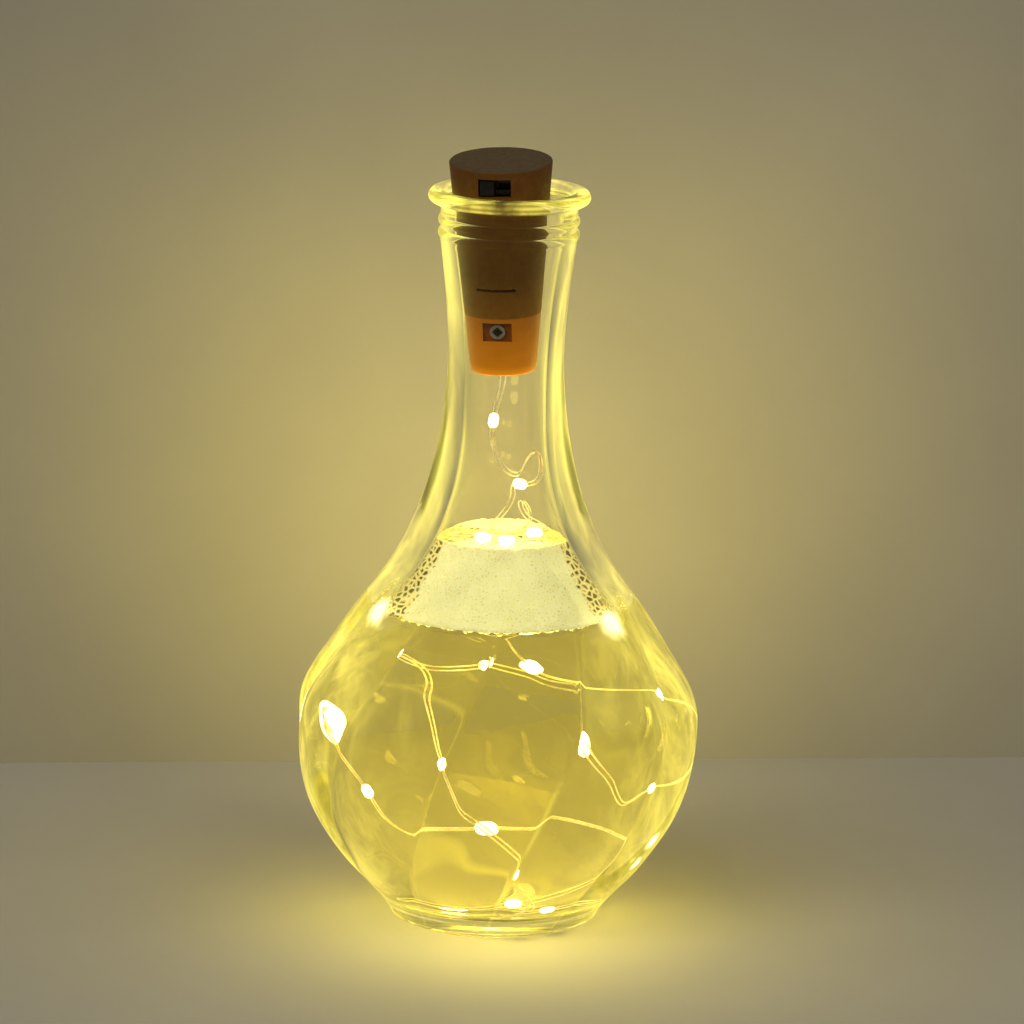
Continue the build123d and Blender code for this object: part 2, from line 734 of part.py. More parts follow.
with BuildPart() as switch_base:
    with BuildSketch(facing(window_level, switch_base_front - switch_base_depth)):
        Rectangle(switch_base_width, switch_height - switch_metal * 2)
        with Locations(pin_places):
            Rectangle(pin_width, pin_thickness, mode=Mode.SUBTRACT)
    extrude(amount=switch_base_depth)
keep(switch_base, "switch_base")

with BuildPart() as switch_slider:
    with BuildSketch(facing(window_level, plate_back - carriage_depth)):
        with Locations((knob_rest, 0)):
            Rectangle(carriage_width, carriage_height)
    extrude(amount=carriage_depth)
    with BuildSketch(facing(window_level, switch_front + free_clearance)):
        with Locations((knob_rest, 0)):
            Rectangle(knob_width, knob_height)
    extrude(amount=knob_front - switch_front - free_clearance)
    fillet(switch_slider.edges().group_by(Axis(cork_origin, -cork_back))[-1], knob_fillet)
    with BuildSketch(facing(window_level, plate_back)):
        with Locations((knob_rest, 0)):
            Rectangle(knob_stem_width, knob_stem_height)
    extrude(amount=switch_metal + free_clearance)
keep(switch_slider, "switch_slider")

clip_front = plate_back - carriage_depth
clip_back = clip_front - clip_thickness
with BuildPart() as slider_contact:
    with BuildSketch(facing(window_level, clip_back)):
        with Locations((knob_rest, 0)):
            Rectangle(clip_width, clip_height)
    extrude(amount=clip_thickness)
    with BuildSketch(facing(window_level, switch_base_front)):
        with Locations((knob_rest - pin_pitch / 2, 0), (knob_rest + pin_pitch / 2, 0)):
            Circle(clip_dimple_radius)
    extrude(amount=clip_back - switch_base_front)
keep(slider_contact, "slider_contact")

# Circuit board with its joints and the two contacts it carries
board_middle = (board_bottom_level + board_top_level) / 2
with BuildPart() as switch_board:
    with BuildSketch(facing(board_middle, board_back)):
        Rectangle(board_width, board_top_level - board_bottom_level)
        with Locations([(x, window_level - board_middle) for x, y in pin_places]):
            Rectangle(pin_width, pin_thickness, mode=Mode.SUBTRACT)
    extrude(amount=board_thickness)
keep(switch_board, "switch_board")

with BuildPart() as solder_joints:
    with BuildSketch(facing(window_level, board_back)):
        with Locations(pin_places):
            Circle(solder_radius)
    extrude(amount=-solder_height, taper=solder_taper)
    with BuildSketch(facing(window_level, board_back)):
        with Locations(pin_places):
            Rectangle(pin_width, pin_thickness)
    extrude(amount=-solder_height, mode=Mode.SUBTRACT)
keep(solder_joints, "solder_joints")

arm_level = stack_top + contact_lift
pad_top = board_bottom_level + contact_pad_height
with BuildPart() as positive_contact:
    with BuildSketch(facing((arm_level + pad_top) / 2, board_back - contact_thickness)):
        Rectangle(contact_width, pad_top - arm_level)
    extrude(amount=contact_thickness)
    with BuildSketch(at_level(arm_level)):
        bar(-contact_width / 2, contact_width / 2, -board_back, contact_reach - board_back)
    extrude(amount=contact_thickness)
    with BuildSketch(at_level(arm_level)):
        Circle(contact_dimple_radius)
    extrude(amount=-contact_lift, taper=contact_dimple_taper)
keep(positive_contact, "positive_contact")

blade_level = strip_top + strip_thickness
with BuildPart() as return_blade:
    with BuildSketch(facing((blade_level + pad_top) / 2, board_back - strip_thickness)):
        with Locations((-blade_side, 0)):
            Rectangle(blade_width, pad_top - blade_level)
    extrude(amount=strip_thickness)
    with BuildSketch(at_level(blade_level)):
        bar(-blade_side - blade_width / 2, -blade_side + blade_width / 2, -board_back, blade_reach - board_back)
    extrude(amount=strip_thickness)
keep(return_blade, "return_blade")


# Light string: two strands beside a centre route, their lights on chosen runs
centre_route = [cork_origin] + [Vector(*place) for place in string_route]


def side_vectors(points, first_side):
    """Sideways directions of the pair of strands at each point, carried along the route."""
    sides = []
    side = first_side
    for near, far in zip(points, points[1:]):
        direction = (far - near).normalized()
        side = (side - direction * side.dot(direction)).normalized()
        sides.append(side)
    sides.append(side)
    return sides


route_sides = side_vectors(centre_route, cork_side)
half_spacings = [strand_start_spacing / 2] * 2 + [strand_spacing / 2] * (len(centre_route) - 2)


def strand_points(sign):
    points = zip(centre_route, route_sides, half_spacings)
    return [point + side * half * sign for point, side, half in points]


def bend_radii(points):
    """Largest bend at each corner that stays within its two runs."""
    radii = []
    for before, corner, after in zip(points, points[1:], points[2:]):
        turn = (corner - before).get_angle(after - corner)
        shorter = min((corner - before).length, (after - corner).length)
        radii.append(bend_share * shorter / tan(radians(turn) / 2))
    return radii


strand_section = pi * strand_diameter**2 / 4
stretches = {"upper": (0, part_runs[0]), "middle": part_runs, "lower": (part_runs[1], len(centre_route) - 2)}
strands = {}
for letter, sign in (("a", -1), ("b", 1)):
    points = strand_points(sign)
    radii = bend_radii(points)
    print(f"strand_{letter} bends", ", ".join(f"{radius:.1f}" for radius in radii))
    for stretch, (first, last) in stretches.items():
        start = [points[0]] if first == 0 else [(points[first] + points[first + 1]) / 2]
        end = [points[-1]] if stretch == "lower" else [(points[last] + points[last + 1]) / 2]
        inner = points[first + 1 : last + 1]
        with BuildPart() as strand:
            with BuildLine() as strand_path:
                FilletPolyline(start + inner + end, radius=radii[first:last])
            with BuildSketch(Plane(origin=strand_path.line @ 0, z_dir=strand_path.line % 0)):
                Circle(strand_diameter / 2)
            sweep(path=strand_path.line)
        length = strand_path.wires()[0].length
        expected = length * strand_section
        print(f"strand_{letter}_{stretch} length {length:.1f}")
        print(f"volume {strand.part.volume:.3f} expected {expected:.3f}")
        strands[letter, stretch] = strand
        keep(strand, f"strand_{letter}_{stretch}")

light_sets = {
    "upper": [run for run in light_runs if run < part_runs[0]],
    "lower": [run for run in light_runs if run > part_runs[1]],
}
for stretch, runs in light_sets.items():
    places = []
    for run in runs:
        near = centre_route[run]
        far = centre_route[run + 1]
        side = route_sides[run]
        places.append(Plane(origin=(near + far) / 2, x_dir=far - near, z_dir=(far - near).cross(side)))
    with BuildPart() as led_chips:
        for place in places:
            with BuildSketch(place.offset(-chip_thickness / 2)):
                Rectangle(chip_length, chip_width)
            extrude(amount=chip_thickness)
        for letter in ("a", "b"):
            add(strands[letter, stretch].part, mode=Mode.SUBTRACT)
    keep(led_chips, f"led_chips_{stretch}")
    with BuildPart() as led_beads:
        for place in places:
            with BuildSketch(place):
                SlotOverall(bead_length, bead_diameter)
                bar(-bead_length, bead_length, -bead_diameter, 0, mode=Mode.SUBTRACT)
            revolve(axis=Axis(place.origin, place.x_dir))
            with BuildSketch(place.offset(-chip_thickness / 2)):
                Rectangle(chip_length, chip_width)
            extrude(amount=chip_thickness, mode=Mode.SUBTRACT)
        for letter in ("a", "b"):
            add(strands[letter, stretch].part, mode=Mode.SUBTRACT)
    keep(led_beads, f"led_beads_{stretch}")
print("cork axis", [round(value, 6) for value in cork_axis])
print("cork side", [round(value, 6) for value in cork_side])
print("cork back", [round(value, 6) for value in cork_back])
screw_place = facing(recess_level, tongue_front).origin
print("screw place", [round(value, 4) for value in screw_place])
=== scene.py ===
"""Looks for the cork bottle light: glass bottle, liquid, foam, light string and cork housing."""

from math import cos, hypot, pi, radians, sin, sqrt, tan

import bpy
import numpy as np
from mathutils import Matrix, Vector, noise


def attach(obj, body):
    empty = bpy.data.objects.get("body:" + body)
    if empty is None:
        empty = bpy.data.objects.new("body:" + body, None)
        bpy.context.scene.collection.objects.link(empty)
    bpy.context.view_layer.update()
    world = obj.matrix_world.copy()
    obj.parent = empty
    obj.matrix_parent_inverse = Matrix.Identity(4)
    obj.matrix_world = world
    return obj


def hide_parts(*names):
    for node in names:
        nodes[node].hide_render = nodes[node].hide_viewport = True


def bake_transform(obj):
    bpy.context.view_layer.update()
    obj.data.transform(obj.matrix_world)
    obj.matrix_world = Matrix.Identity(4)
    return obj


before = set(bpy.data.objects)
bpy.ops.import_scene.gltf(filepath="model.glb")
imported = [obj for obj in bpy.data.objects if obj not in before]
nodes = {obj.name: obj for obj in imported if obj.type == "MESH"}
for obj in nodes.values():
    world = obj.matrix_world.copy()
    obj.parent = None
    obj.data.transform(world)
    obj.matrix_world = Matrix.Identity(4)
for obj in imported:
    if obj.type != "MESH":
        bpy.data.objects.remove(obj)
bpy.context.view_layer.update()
MM = 0.001


def new_object(name, data):
    """Adds an object with this data to the scene."""
    made = bpy.data.objects.new(name, data)
    bpy.context.scene.collection.objects.link(made)
    return made


def mesh_object(name, vertices, faces):
    """Makes a smooth mesh object from its vertices and faces."""
    mesh = bpy.data.meshes.new(name)
    mesh.from_pydata([tuple(v) for v in vertices], [], faces)
    mesh.update()
    mesh.polygons.foreach_set("use_smooth", [True] * len(mesh.polygons))
    return new_object(name, mesh)


# Camera: the photograph's place, aim, tilt and crop
camera_place = Vector((0.0, -1260.0, 390.0)) * MM
camera_target = Vector((0.0, 0.0, 84.0)) * MM
camera_roll = 1.33
camera_data = bpy.data.cameras.new("photo_camera")
camera_data.lens = 203.4
camera_data.sensor_width = 36.0
camera_data.shift_x = 0.0102
camera_data.shift_y = 0.0365
camera_data.clip_end = 20.0
camera = new_object("photo_camera", camera_data)
aim = (camera_target - camera_place).to_track_quat("-Z", "Y").to_matrix().to_4x4()
roll = Matrix.Rotation(radians(camera_roll), 4, "Z")
camera.matrix_world = Matrix.Translation(camera_place) @ aim @ roll
bpy.context.scene.camera = camera

# Lengths are in millimetres, unless MM has made them metres
bottle_height = 166.0

# Cork frame: its lower end stands in the neck, leaning to the front and left
cork_depth = 40.4
cork_lean_left = 1.9
cork_lean_front = 4.6
cork_turn = -7.5
cork_length = 47.5
cork_bottom_radius = 7.5
cork_top_radius = 11.45
screw_level = 10.4
screw_reach = 7.05
cork_origin = Vector((-0.55, 1.25, bottle_height - cork_depth))
cork_axis = Vector((-tan(radians(cork_lean_left)), -tan(radians(cork_lean_front)), 1.0))
cork_axis.normalize()
cork_side = Vector((cos(radians(cork_turn)), sin(radians(cork_turn)), 0.0))
cork_side = (cork_side - cork_axis * cork_side.dot(cork_axis)).normalized()
cork_back = cork_axis.cross(cork_side)
screw_place = cork_origin + cork_axis * screw_level - cork_back * screw_reach

# Light string: the points of its route, from the plug down to its last light
string_route = [
    (-0.55, 1.25, 125.6),
    (-0.42, 1.57, 121.6), (-2.1, 0.4, 116.4), (-2.9, -0.6, 110.2), (-1.8, -4.6, 106.2),
    (1.0, -6.0, 102.8), (3.6, -2.4, 101.4), (5.2, 2.8, 103.4), (7.2, 3.6, 105.4),
    (8.6, 1.4, 105.6), (8.4, -1.2, 103.4), (7.8, -3.0, 100.6), (5.4, -1.2, 98.8),
    (2.2, 1.2, 98.6), (2.4, 1.4, 94.8), (-0.6, 0.4, 91.0), (-2.4, -0.4, 89.0),
    (-2.2, -2.8, 88.4), (0.8, -3.8, 88.3), (4.6, -1.8, 88.4), (6.8, 1.0, 90.8),
    (5.8, 1.6, 93.6), (4.2, 0.2, 95.2), (3.8, -2.0, 94.4), (5.4, -3.2, 91.8),
    (7.8, -1.8, 90.4), (9.6, -2.6, 89.3), (9.0, -4.6, 88.8), (4.8, -5.6, 88.7),
    (0.6, -7.8, 88.4), (-5.2, -5.6, 88.6), (-9.4, -4.2, 88.7), (-10.8, -6.4, 88.6),
    (-8.6, -8.8, 88.5), (-5.6, -8.8, 88.6), (-2.2, -9.8, 88.4), (0.4, -9.0, 85.6),
    (1.6, -4.0, 81.5), (5.8, 0.8, 78.4), (10.5, -1.5, 80.4), (11.8, -6.8, 84.6),
    (9.0, -9.0, 88.4), (6.0, -11.0, 88.8), (2.8, -11.2, 88.5), (-0.9, -11.6, 88.5),
    (-4.2, -12.4, 87.2), (-6.8, -10.6, 82.5), (-6.0, -5.0, 76.0), (-2.0, 1.0, 68.0),
    (2.0, 5.5, 60.0), (4.0, 8.0, 53.8), (7.4, 8.2, 48.6), (13.8, 5.2, 48.0),
    (21.0, -1.0, 48.6), (27.0, -6.4, 50.8), (30.4, -9.8, 52.4), (34.4, -10.6, 51.8),
    (39.0, -5.0, 49.2), (40.2, 1.0, 45.0), (39.3, 1.4, 39.0), (37.9, -6.0, 35.2),
    (36.2, -13.0, 34.8), (33.8, -19.8, 36.0), (31.4, -24.6, 36.6), (28.8, -28.2, 35.2),
    (26.0, -27.4, 34.0), (23.6, -21.4, 35.4), (21.5, -13.0, 36.6), (18.0, -1.0, 37.6),
    (15.6, 6.6, 37.2), (11.0, 17.0, 37.6), (6.6, 26.0, 41.0), (2.4, 30.4, 44.2),
    (-1.6, 29.4, 46.6), (-3.4, 20.0, 50.6), (-3.0, 8.0, 53.6), (-3.6, -3.0, 56.4),
    (-3.4, -8.8, 58.2), (-4.0, -14.4, 59.6), (-7.6, -21.2, 60.8), (-13.4, -23.6, 61.0),
    (-17.6, -18.0, 60.6), (-18.4, -8.6, 58.6), (-16.8, 0.2, 56.2), (-14.6, 7.6, 53.6),
    (-11.8, 9.0, 50.4), (-11.6, 4.0, 47.8), (-13.2, -4.0, 47.2), (-13.4, -13.0, 47.2),
    (-13.0, -24.6, 46.2), (-12.2, -30.6, 44.8), (-10.8, -36.0, 42.8), (-8.6, -36.4, 37.6),
    (-6.6, -29.6, 32.6), (-4.0, -20.0, 29.6), (-0.8, -11.0, 25.8), (2.8, -5.0, 21.4),
    (4.6, -1.4, 18.6), (6.2, 3.0, 15.0), (6.6, 1.4, 10.6), (5.2, -5.0, 8.4),
    (3.6, -13.0, 8.0), (5.2, -19.4, 8.4), (9.0, -21.0, 8.8), (13.0, -18.0, 9.2),
    (18.4, -10.6, 9.8), (19.2, -0.4, 9.6), (14.6, 9.4, 9.0), (6.0, 15.4, 8.6),
    (-2.6, 16.8, 8.6), (-8.0, 15.0, 8.8), (-13.4, 9.4, 9.2), (-17.0, -1.0, 9.8),
    (-14.5, -11.5, 9.8), (-8.2, -18.6, 9.6), (-3.4, -21.4, 9.8), (1.6, -22.4, 10.4),
    (7.0, -22.8, 12.2), (15.0, -19.6, 14.4), (22.4, -13.6, 17.8), (25.0, -9.4, 22.2),
    (21.4, -7.0, 26.2), (13.6, -7.4, 27.6), (5.4, -8.2, 27.6), (0.6, -8.4, 27.0),
    (-4.2, -8.0, 26.2), (-10.6, -7.6, 24.8), (-16.6, -10.4, 25.2), (-21.4, -17.0, 28.4),
    (-24.8, -23.6, 33.4), (-27.6, -26.6, 37.4), (-31.2, -21.0, 41.2), (-33.4, -11.0, 43.4),
    (-32.6, -0.6, 43.2), (-29.8, 7.4, 41.0), (-27.4, 12.6, 38.6),
]
route_steps = 10
route_order = 3
strand_diameter = 0.32 * MM
strand_spacing = 0.9 * MM
strand_start_spacing = 1.5 * MM
start_reach = 6.0 * MM
strand_sides = 8


def route_line(points):
    """Points read from the smooth line that the route controls."""
    curve = bpy.data.curves.new("string_route", "CURVE")
    curve.dimensions = "3D"
    curve.resolution_u = route_steps
    spline = curve.splines.new("NURBS")
    spline.points.add(len(points) - 1)
    for control, place in zip(spline.points, points):
        control.co = (*(Vector(place) * MM), 1.0)
    spline.order_u = route_order
    spline.use_endpoint_u = True
    holder = new_object("string_route", curve)
    bpy.context.view_layer.update()
    mesh = bpy.data.meshes.new_from_object(holder)
    line = [v.co.copy() for v in mesh.vertices]
    bpy.data.objects.remove(holder)
    bpy.data.meshes.remove(mesh)
    return line


def carried_sides(line, first_side):
    """Sideways directions along a line, carried on from the first without twist."""
    sides = []
    side = first_side
    for near, far in zip(line, line[1:]):
        direction = (far - near).normalized()
        side = (side - direction * side.dot(direction)).normalized()
        sides.append(side)
    sides.append(side)
    return sides


def tube(name, line, radius, around):
    """A round tube along a line, closed at its ends."""
    sides = carried_sides(line, Vector((1.0, 0.0, 0.0)))
    vertices = []
    faces = []
    for index, place in enumerate(line):
        ahead = line[min(index + 1, len(line) - 1)]
        behind = line[max(index - 1, 0)]
        direction = (ahead - behind).normalized()
        across = (sides[index] - direction * sides[index].dot(direction)).normalized()
        upright = direction.cross(across)
        for step in range(around):
            angle = 2 * pi * step / around
            vertices.append(place + (across * cos(angle) + upright * sin(angle)) * radius)
    for index in range(len(line) - 1):
        for step in range(around):
            low = index * around + step
            low_next = index * around + (step + 1) % around
            faces.append((low, low_next, low_next + around, low + around))
    faces.append(tuple(reversed(range(around))))
    faces.append(tuple(range(len(vertices) - around, len(vertices))))
    return mesh_object(name, vertices, faces)


centre_line = route_line(string_route)
line_sides = carried_sides(centre_line, cork_side)
line_start = Vector(string_route[0]) * MM


def strand_line(sign):
    """The line of one strand beside the string's centre."""
    line = []
    for place, side in zip(centre_line, line_sides):
        closeness = max(0.0, 1.0 - (place - line_start).length / start_reach)
        half = (strand_spacing + (strand_start_spacing - strand_spacing) * closeness) / 2
        line.append(place + side * half * sign)
    return line


strands = {}
strand_lines = {}
for letter, sign in (("a", -1), ("b", 1)):
    strand_lines[letter] = strand_line(sign)
    strands[letter] = tube(f"string_strand_{letter}", strand_lines[letter],
                           strand_diameter / 2, strand_sides)

# Bottle
belly_radius = 45.5
belly_level = 43.0
belly_wall = 3.2
waist_radius = 12.9
waist_level = bottle_height - 37.0
foot_radius = 23.2
foot_rounding = 0.8
foot_flat = 1.0
floor_thickness = 6.0
punt_radius = 18.0
punt_depth = 0.8
lip_radius = 18.0
lip_thickness = 3.4
lip_rounding = 1.7
mouth_radius = 14.2
mouth_rounding = 1.2
collar_radius = 15.2
collar_level = bottle_height - 10.8
ring_count = 2
ring_height = 1.9
ring_swell = 0.5
ring_pitch = 2.9
seat_clearance = 0.35
lobe_count = 10
lobe_depth = 1.25
lobe_sharpness = 1.2
inner_lobe_depth = 0.35
lobe_twist_per_height = 0.55
lobe_phase = -4.0
lobe_fade_levels = [(0.0, 0.0), (6.0, 0.0), (17.0, 1.0), (58.0, 1.0), (86.0, 0.0), (200.0, 0.0)]

# Shares along the wall: height between two levels, and radius between two radii
lower_belly_shares = ((0.058, 0.541), (0.174, 0.636), (0.291, 0.744), (0.41, 0.827), (0.56, 0.91),
                      (0.74, 0.97))
shoulder_shares = ((0.083, 0.979), (0.151, 0.895), (0.221, 0.775), (0.291, 0.655), (0.36, 0.527),
                   (0.43, 0.392), (0.512, 0.27), (0.605, 0.169), (0.698, 0.097), (0.802, 0.042),
                   (0.9, 0.012))
upper_neck_shares = ((0.25, 0.12), (0.5, 0.34), (0.78, 0.7))
cavity_floor_share = 0.45
lower_cavity_shares = ((0.054, 0.576), (0.162, 0.70), (0.378, 0.848), (0.649, 0.957))
upper_cavity_shares = ((0.084, 0.973), (0.205, 0.80), (0.337, 0.539), (0.41, 0.381),
                       (0.488, 0.232), (0.542, 0.159), (0.602, 0.105), (0.657, 0.065),
                       (0.711, 0.038), (0.783, 0.015), (0.88, 0.002))
bore_station_shares = (0.0, 0.25, 0.5, 0.72, 0.875)


def between(low, high, share):
    return low + (high - low) * share


def stations(low_level, high_level, small_radius, large_radius, shares):
    """Points of the wall, each a level and a radius, from their shares."""
    return [(between(low_level, high_level, height), between(small_radius, large_radius, reach))
            for height, reach in shares]


def bore_radius(level):
    """Bore that leaves the leaning cork its clearance at one level."""
    height = (level - cork_origin.z) / cork_axis.z
    centre = cork_origin + cork_axis * height
    cork_radius = between(cork_bottom_radius, cork_top_radius, height / cork_length)
    return cork_radius / cork_axis.z + hypot(centre.x, centre.y) + seat_clearance


outer_points = [(0.0, foot_radius)]
outer_points += stations(0.0, belly_level, 0.0, belly_radius, lower_belly_shares)
outer_points += [(belly_level, belly_radius)]
outer_points += stations(belly_level, waist_level, waist_radius, belly_radius, shoulder_shares)
outer_points += [(waist_level, waist_radius)]
outer_points += stations(waist_level, collar_level, waist_radius, collar_radius, upper_neck_shares)
outer_points += [(collar_level, collar_radius)]

cavity_radius = belly_radius - belly_wall
bore_start = cork_origin.z
inner_points = [(floor_thickness, cavity_radius * cavity_floor_share)]
inner_points += stations(floor_thickness, belly_level, 0.0, cavity_radius, lower_cavity_shares)
inner_points += [(belly_level, cavity_radius)]
inner_points += stations(belly_level, bore_start, bore_radius(bore_start), cavity_radius,
                         upper_cavity_shares)
for bore_share in bore_station_shares:
    bore_level = between(bore_start, bottle_height, bore_share)
    inner_points.append((bore_level, bore_radius(bore_level)))
inner_points += [(bottle_height - mouth_rounding, mouth_radius)]


def natural_spline(points):
    """A smooth function through points of rising level."""
    xs = np.array([p[0] for p in points])
    ys = np.array([p[1] for p in points])
    steps = np.diff(xs)
    count = len(xs)
    matrix = np.zeros((count, count))
    right = np.zeros(count)
    matrix[0, 0] = 1.0
    matrix[-1, -1] = 1.0
    for i in range(1, count - 1):
        matrix[i, i - 1] = steps[i - 1]
        matrix[i, i] = 2 * (steps[i - 1] + steps[i])
        matrix[i, i + 1] = steps[i]
        right[i] = 6 * ((ys[i + 1] - ys[i]) / steps[i] - (ys[i] - ys[i - 1]) / steps[i - 1])
    bend = np.linalg.solve(matrix, right)

    def value(x):
        x = min(max(x, xs[0]), xs[-1])
        i = min(int(np.searchsorted(xs, x, side="right")) - 1, count - 2)
        h = steps[i]
        a = (xs[i + 1] - x) / h
        b = (x - xs[i]) / h
        bent = (a**3 - a) * bend[i] + (b**3 - b) * bend[i + 1]
        return a * ys[i] + b * ys[i + 1] + bent * h * h / 6

    return value


outer_radius = natural_spline(outer_points)
inner_radius = natural_spline(inner_points)


def lobe_share(level):
    """How much of the lobes' depth is there at a level."""
    for (low, low_share), (high, high_share) in zip(lobe_fade_levels, lobe_fade_levels[1:]):
        if level <= high:
            share = (level - low) / (high - low)
            share = share * share * (3 - 2 * share)
            return between(low_share, high_share, share)
    return 0.0


def lobed(radius, level, angle, depth):
    """Radius at an angle from the front, with the crease between two lobes pressed in."""
    around = angle - radians(lobe_phase + lobe_twist_per_height * level)
    crease = 1.0 - abs(sin(around * lobe_count / 2))
    return radius - depth * lobe_share(level) * crease ** lobe_sharpness


def revolved(name, meridian, around):
    """A closed skin from a meridian: radius, level and lobe depth, from axis to axis."""
    vertices = [(0.0, 0.0, meridian[0][1] * MM)]
    faces = []
    rings = meridian[1:-1]
    for radius, level, depth in rings:
        for step in range(around):
            angle = 2 * pi * step / around
            at = lobed(radius, level, angle, depth)
            vertices.append((at * sin(angle) * MM, -at * cos(angle) * MM, level * MM))
    vertices.append((0.0, 0.0, meridian[-1][1] * MM))
    last = len(vertices) - 1
    top = 1 + (len(rings) - 1) * around
    for step in range(around):
        ahead = (step + 1) % around
        faces.append((0, 1 + ahead, 1 + step))
        faces.append((last, top + step, top + ahead))
    for ring in range(len(rings) - 1):
        low = 1 + ring * around
        for step in range(around):
            ahead = (step + 1) % around
            faces.append((low + step, low + ahead, low + around + ahead, low + around + step))
    return mesh_object(name, vertices, faces)


def climb(start, stop, step):
    """Levels from a start up to below a stop."""
    level = start
    while level < stop:
        yield level
        level += step


def arc_points(centre, radius, start, end, steps):
    """Points of an arc in the meridian, angles in degrees from outward."""
    points = []
    for step in range(steps + 1):
        angle = radians(start + (end - start) * step / steps)
        points.append((centre[0] + radius * cos(angle), centre[1] + radius * sin(angle), 0.0))
    return points


def quarter_points(radius, reach, level, height, steps):
    """Points of a quarter turn that runs level at first and rises at its end."""
    points = []
    for step in range(steps + 1):
        angle = radians(90 * step / steps)
        points.append((radius + reach * sin(angle), level + height * (1 - cos(angle)), 0.0))
    return points


bottle_around = 360
liquid_around = 240
foam_around = 300
wall_step = 0.8
ring_step = 0.12
punt_steps = 8
heel_steps = 6
lip_steps = 10
crown_steps = 12
mouth_steps = 10
heel_gap = 0.6
collar_gap = 0.5
ring_gap = 0.3
lip_gap = 0.05
floor_gap = 0.4
floor_shares = (1.0, 0.85, 0.6, 0.35, 0.15)


def ring_swelling(level):
    """How far the small rings under the lip stand out at a level."""
    swell = 0.0
    for ring in range(ring_count):
        ring_level = collar_level + ring_height / 2 + ring_pitch * ring
        off = (level - ring_level) / (ring_height / 2)
        if abs(off) < 1.0:
            swell = max(swell, ring_swell * sqrt(1 - off * off))
    return swell


def bottle_meridian():
    """The bottle's section from the middle of its foot, over the lip and back down inside."""
    points = [(0.0, punt_depth, 0.0)]
    for step in range(1, punt_steps + 1):
        share = step / punt_steps
        points.append((punt_radius * share, punt_depth * (1 - share ** 2), 0.0))
    heel_start = foot_radius - foot_rounding
    points.append((heel_start - foot_flat, 0.0, 0.0))
    heel_reach = outer_radius(foot_rounding) - heel_start
    points += quarter_points(heel_start, heel_reach, 0.0, foot_rounding, heel_steps)
    for level in climb(foot_rounding + heel_gap, collar_level - collar_gap, wall_step):
        points.append((outer_radius(level), level, lobe_depth))
    lip_bottom = bottle_height - lip_thickness
    for level in climb(collar_level - ring_gap, lip_bottom - lip_gap, ring_step):
        points.append((collar_radius + ring_swelling(level), level, 0.0))
    points += quarter_points(collar_radius, lip_radius - collar_radius, lip_bottom, lip_rounding,
                             lip_steps)
    crown = (lip_radius - lip_rounding, bottle_height - lip_rounding)
    points += arc_points(crown, lip_rounding, 0, 90, crown_steps)[1:]
    inside = (mouth_radius + mouth_rounding, bottle_height - mouth_rounding)
    points += arc_points(inside, mouth_rounding, 90, 180, mouth_steps)
    level = bottle_height - mouth_rounding - wall_step
    while level > floor_thickness + floor_gap:
        points.append((inner_radius(level), level, inner_lobe_depth))
        level -= wall_step
    for share in floor_shares:
        points.append((inner_radius(floor_thickness) * share, floor_thickness, 0.0))
    points.append((0.0, floor_thickness, 0.0))
    return points


bottle = revolved("bottle_glass", bottle_meridian(), bottle_around)

# Liquid and foam: the liquid reaches a little into the wall so that no air film is left
liquid_level = 71.0
liquid_reach = 0.08
liquid_drop = 0.05
foam_top = 87.2
foam_reach = -0.25
foam_gap = 0.02
bottom_shares = (0.3, 0.6, 0.85, 0.97)
top_shares = (1.0, 0.98, 0.9, 0.75, 0.5, 0.25)
top_gap = 0.3


def cavity_meridian(low, high, reach, floor_drop):
    """Section of what fills the cavity between two levels."""
    bottom = low - floor_drop
    edge = inner_radius(low) + reach
    rim = inner_radius(high) + reach
    points = [(0.0, bottom, 0.0)]
    points += [(edge * share, bottom, 0.0) for share in bottom_shares]
    for level in climb(low, high - top_gap, wall_step):
        points.append((inner_radius(level) + reach, level, inner_lobe_depth))
    points += [(rim * share, high, 0.0) for share in top_shares]
    points.append((0.0, high, 0.0))
    return points


liquid_meridian = cavity_meridian(floor_thickness, liquid_level, liquid_reach, liquid_drop)
liquid = revolved("bottle_liquid", liquid_meridian, liquid_around)
foam_meridian = cavity_meridian(liquid_level + foam_gap, foam_top, foam_reach, 0.0)
foam = revolved("bottle_foam", foam_meridian, foam_around)

# The foam has an uneven top, and its lower edge hangs ragged
foam_bump = 0.35 * MM
foam_bump_scale = 620.0
foam_fine_share = 0.5
foam_fine_ratio = 2.3
foam_sink = 0.3
foam_top_margin = 0.01
foam_hang = 0.9 * MM
foam_hang_scale = 900.0
foam_hang_middle = 0.5
for vertex in foam.data.vertices:
    height = vertex.co.z / MM
    if height > foam_top - foam_top_margin:
        coarse_place = vertex.co * foam_bump_scale
        fine_lift = foam_fine_share * noise.noise(coarse_place * foam_fine_ratio)
        vertex.co.z += foam_bump * (noise.noise(coarse_place) + fine_lift - foam_sink)
    if height < liquid_level + 2 * foam_gap:
        vertex.co.z -= foam_hang * (foam_hang_middle + noise.noise(vertex.co * foam_hang_scale))


